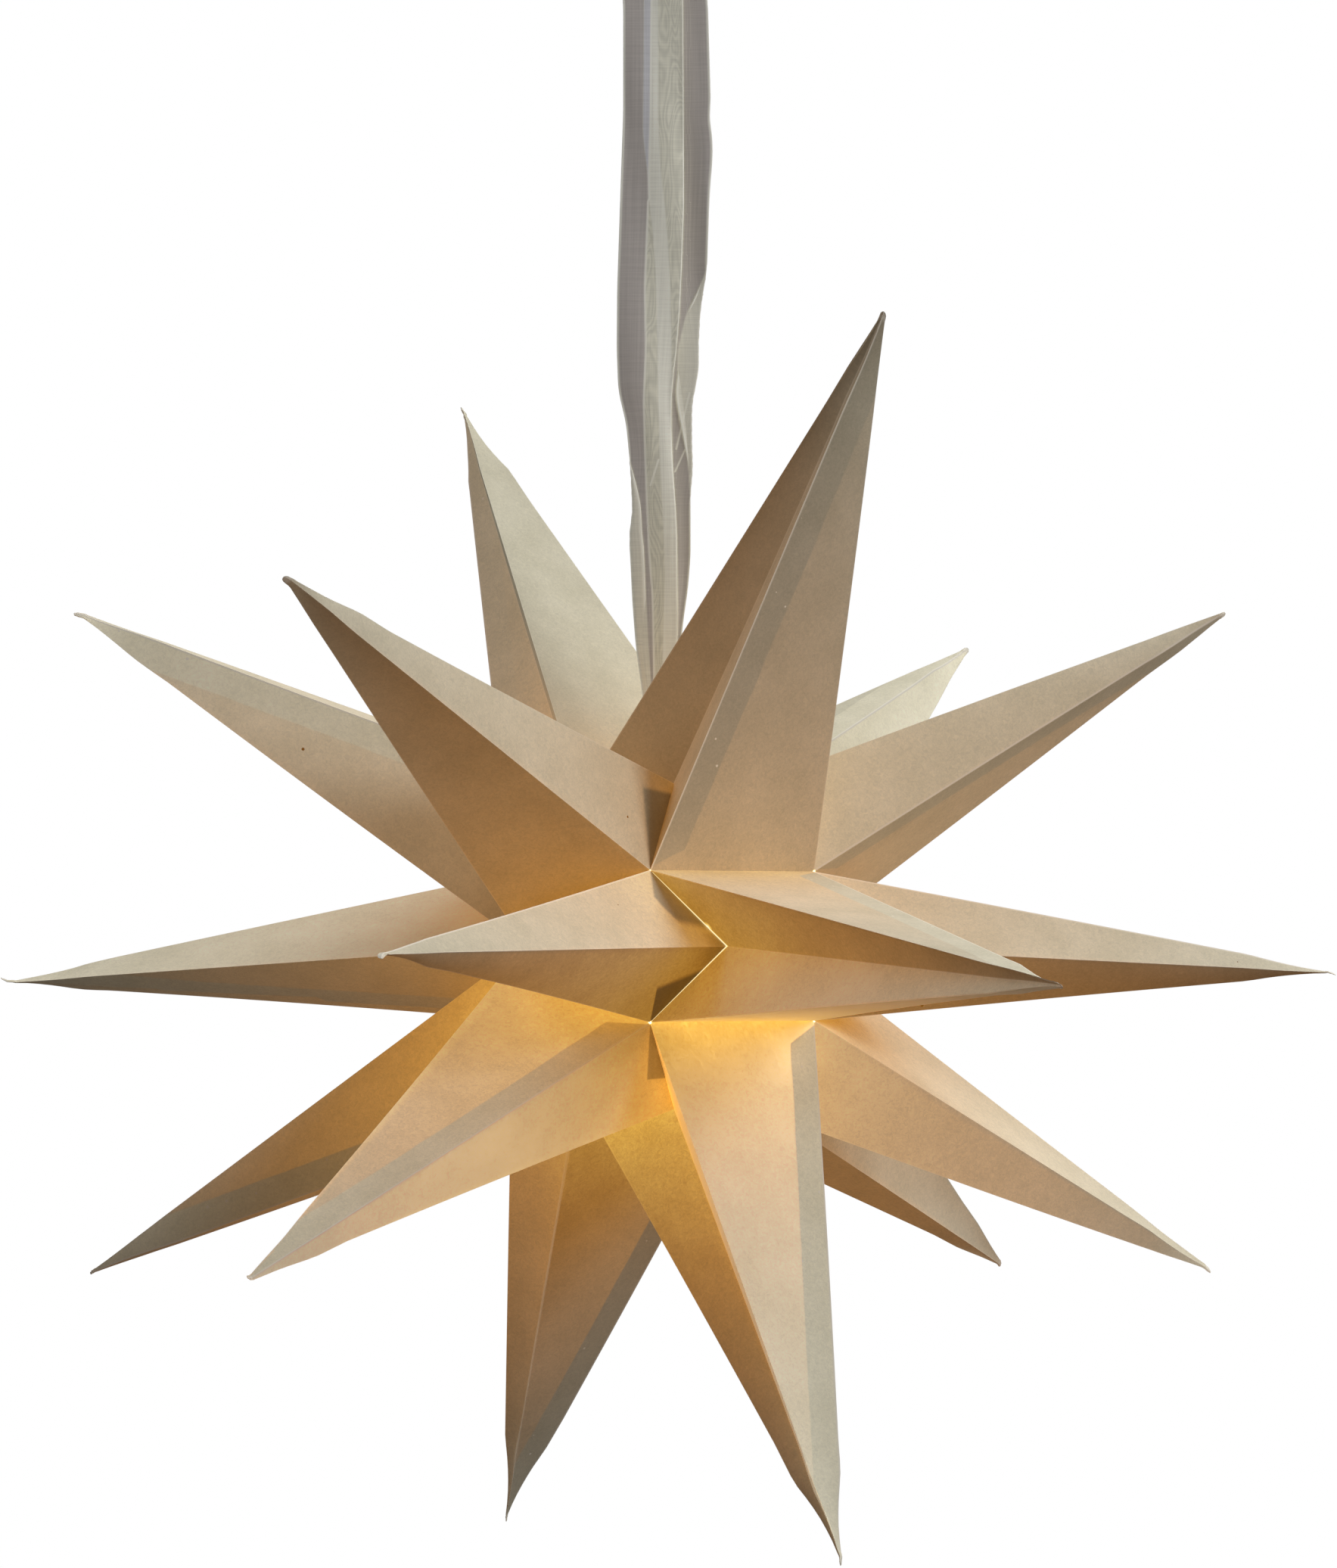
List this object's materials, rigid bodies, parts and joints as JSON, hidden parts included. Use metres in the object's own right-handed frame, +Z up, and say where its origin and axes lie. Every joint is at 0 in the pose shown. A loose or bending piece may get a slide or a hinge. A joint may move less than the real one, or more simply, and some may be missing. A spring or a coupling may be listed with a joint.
{
  "type": "paper star lantern",
  "caption": "Many-pointed folding paper star of hollow spikes with glued flaps, hung on a sheer ribbon loop, lit from inside by a hanging battery lamp.",
  "frame": {"origin": "centre of the hole in the hanger plate", "axes": "+Z up along the ribbon, +X to the right and +Y away from the front view, along the hole"},
  "size_m": [0.6036, 0.5618, 0.7351],
  "materials": {
    "paper": "matte",
    "organza": "satin",
    "steel": "satin",
    "white_plastic": "matte",
    "black_plastic": "matte",
    "cell_wrap": "satin",
    "contact_brass": "satin",
    "board": "satin",
    "led": "gloss",
    "frosted_globe": "satin"
  },
  "bodies": {
    "hanger": {"hanger_plate": "steel"},
    "ribbon": {"ribbon": "organza", "ribbon_knot": "organza"},
    "star": {"leaf_1_left_spike": "paper", "leaf_1_middle_spike": "paper", "leaf_1_right_spike": "paper", "leaf_2_left_spike": "paper", "leaf_2_middle_spike": "paper", "leaf_2_right_spike": "paper", "leaf_3_left_spike": "paper", "leaf_3_middle_spike": "paper", "leaf_3_right_spike": "paper", "leaf_4_left_spike": "paper", "leaf_4_middle_spike": "paper", "leaf_4_right_spike": "paper", "leaf_5_left_spike": "paper", "leaf_5_middle_spike": "paper", "leaf_5_right_spike": "paper", "leaf_6_left_spike": "paper", "leaf_6_middle_spike": "paper", "leaf_6_right_spike": "paper", "hanger_disc": "white_plastic", "hanger_pin": "steel"},
    "lamp": {"battery_case": "white_plastic", "battery_cells": "cell_wrap", "upper_contacts": "contact_brass", "lower_contacts": "contact_brass", "switch_body": "black_plastic", "lamp_base": "white_plastic", "base_screws": "steel", "led_board": "board", "leds": "led", "globe": "frosted_globe"},
    "lid": {"battery_lid": "white_plastic"},
    "switch": {"switch_slider": "black_plastic"}
  },
  "joints": [
    {"name": "ribbon_swing", "type": "hinge", "parent": "hanger", "child": "ribbon", "pos_m": [0, 0, -0.02], "axis": [1, 0, 0], "range_deg": [-25, 25]},
    {"name": "star_turn", "type": "hinge", "parent": "ribbon", "child": "star", "pos_m": [0, 0, -0.39136], "axis": [0, 0, 1], "range_deg": [-180, 180]},
    {"name": "lamp_swing", "type": "hinge", "parent": "star", "child": "lamp", "pos_m": [0, 0, -0.40536], "axis": [0, 1, 0], "range_deg": [-8, 8]},
    {"name": "lid_slide", "type": "slide", "parent": "lamp", "child": "lid", "axis": [1, 0, 0], "range_m": [0, 0.03]},
    {"name": "switch_slide", "type": "slide", "parent": "lamp", "child": "switch", "axis": [1, 0, 0], "range_m": [0, 0.003]}
  ]
}
